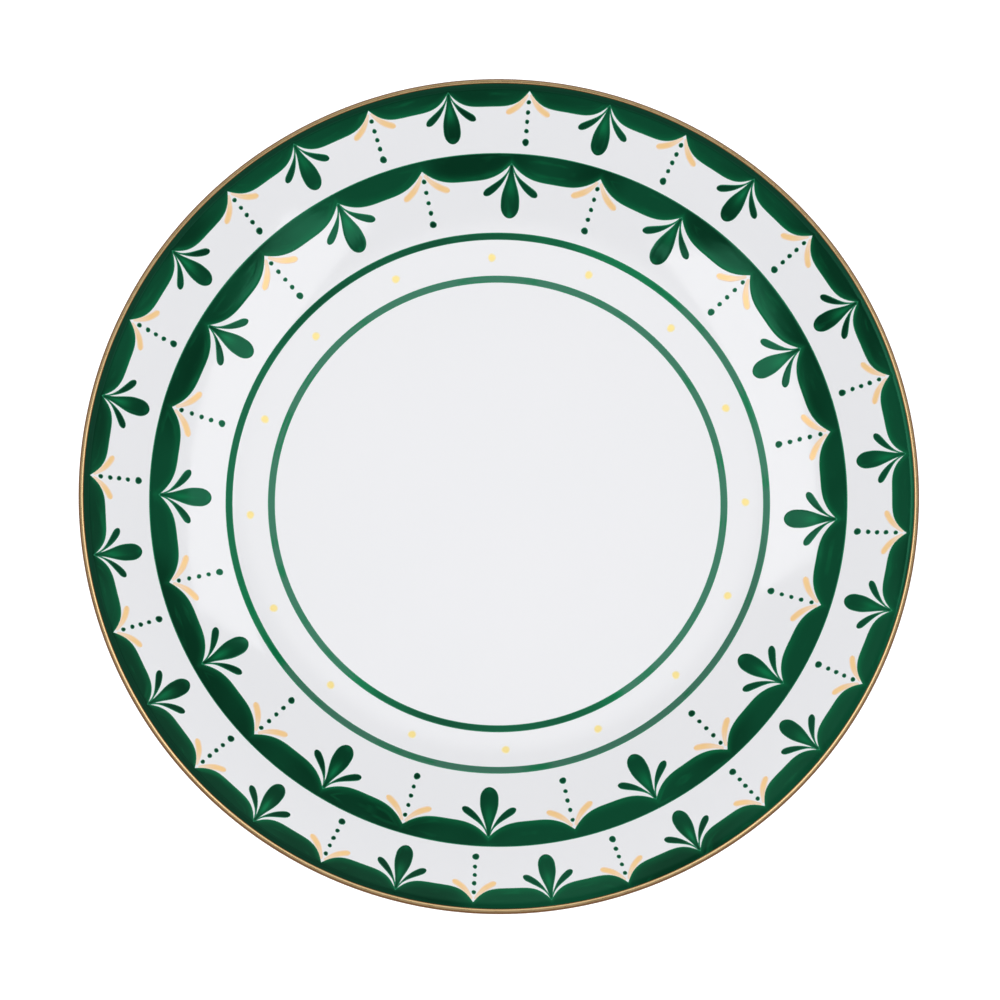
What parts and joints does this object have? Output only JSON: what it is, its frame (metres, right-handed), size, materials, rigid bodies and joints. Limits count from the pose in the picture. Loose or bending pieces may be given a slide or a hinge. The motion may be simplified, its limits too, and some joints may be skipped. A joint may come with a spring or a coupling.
{
  "type": "dinner plate",
  "caption": "Round coupe dinner plate for serving a main course, in glazed white porcelain with green scalloped bands, sprigs and rings, gold dots and a gold lip.",
  "frame": {"origin": "on the table, at the middle of the foot ring", "axes": "+Z is the plate's axis, up out of the well; the pattern's angles run clockwise from +Y, seen from above"},
  "size_m": [0.267, 0.267, 0.029],
  "materials": {
    "bisque": "bare fired porcelain, matt, slightly warm white",
    "glaze": "clear glossy glaze over white porcelain, slightly cool",
    "green_enamel": "glossy deep green overglaze enamel with soft brushed tones and paler edges",
    "lip_gold": "burnished liquid gold, bright with brown-gold edges",
    "pale_gold": "thin matt gold print, pale and slightly peach"
  },
  "bodies": {
    "root": {"porcelain_body": "bisque", "glaze_coat": "glaze", "foot_well_glaze": "glaze", "gilt_rim_line": "lip_gold", "outer_scallop_band": "green_enamel", "inner_scallop_band": "green_enamel", "outer_line_ring": "green_enamel", "inner_line_ring": "green_enamel", "outer_sprig_01": "green_enamel", "outer_sprig_02": "green_enamel", "outer_sprig_03": "green_enamel", "outer_sprig_04": "green_enamel", "outer_sprig_05": "green_enamel", "outer_sprig_06": "green_enamel", "outer_sprig_07": "green_enamel", "outer_sprig_08": "green_enamel", "outer_sprig_09": "green_enamel", "outer_sprig_10": "green_enamel", "outer_sprig_11": "green_enamel", "outer_sprig_12": "green_enamel", "outer_sprig_13": "green_enamel", "outer_sprig_14": "green_enamel", "outer_sprig_15": "green_enamel", "outer_sprig_16": "green_enamel", "inner_sprig_01": "green_enamel", "inner_sprig_02": "green_enamel", "inner_sprig_03": "green_enamel", "inner_sprig_04": "green_enamel", "inner_sprig_05": "green_enamel", "inner_sprig_06": "green_enamel", "inner_sprig_07": "green_enamel", "inner_sprig_08": "green_enamel", "inner_sprig_09": "green_enamel", "inner_sprig_10": "green_enamel", "inner_sprig_11": "green_enamel", "inner_sprig_12": "green_enamel", "gold_dot_01": "pale_gold", "gold_dot_02": "pale_gold", "gold_dot_03": "pale_gold", "gold_dot_04": "pale_gold", "gold_dot_05": "pale_gold", "gold_dot_06": "pale_gold", "gold_dot_07": "pale_gold", "gold_dot_08": "pale_gold", "gold_dot_09": "pale_gold", "gold_dot_10": "pale_gold", "gold_dot_11": "pale_gold", "gold_dot_12": "pale_gold", "gold_dot_13": "pale_gold", "gold_dot_14": "pale_gold", "gold_dot_15": "pale_gold", "gold_dot_16": "pale_gold"}
  },
  "joints": []
}
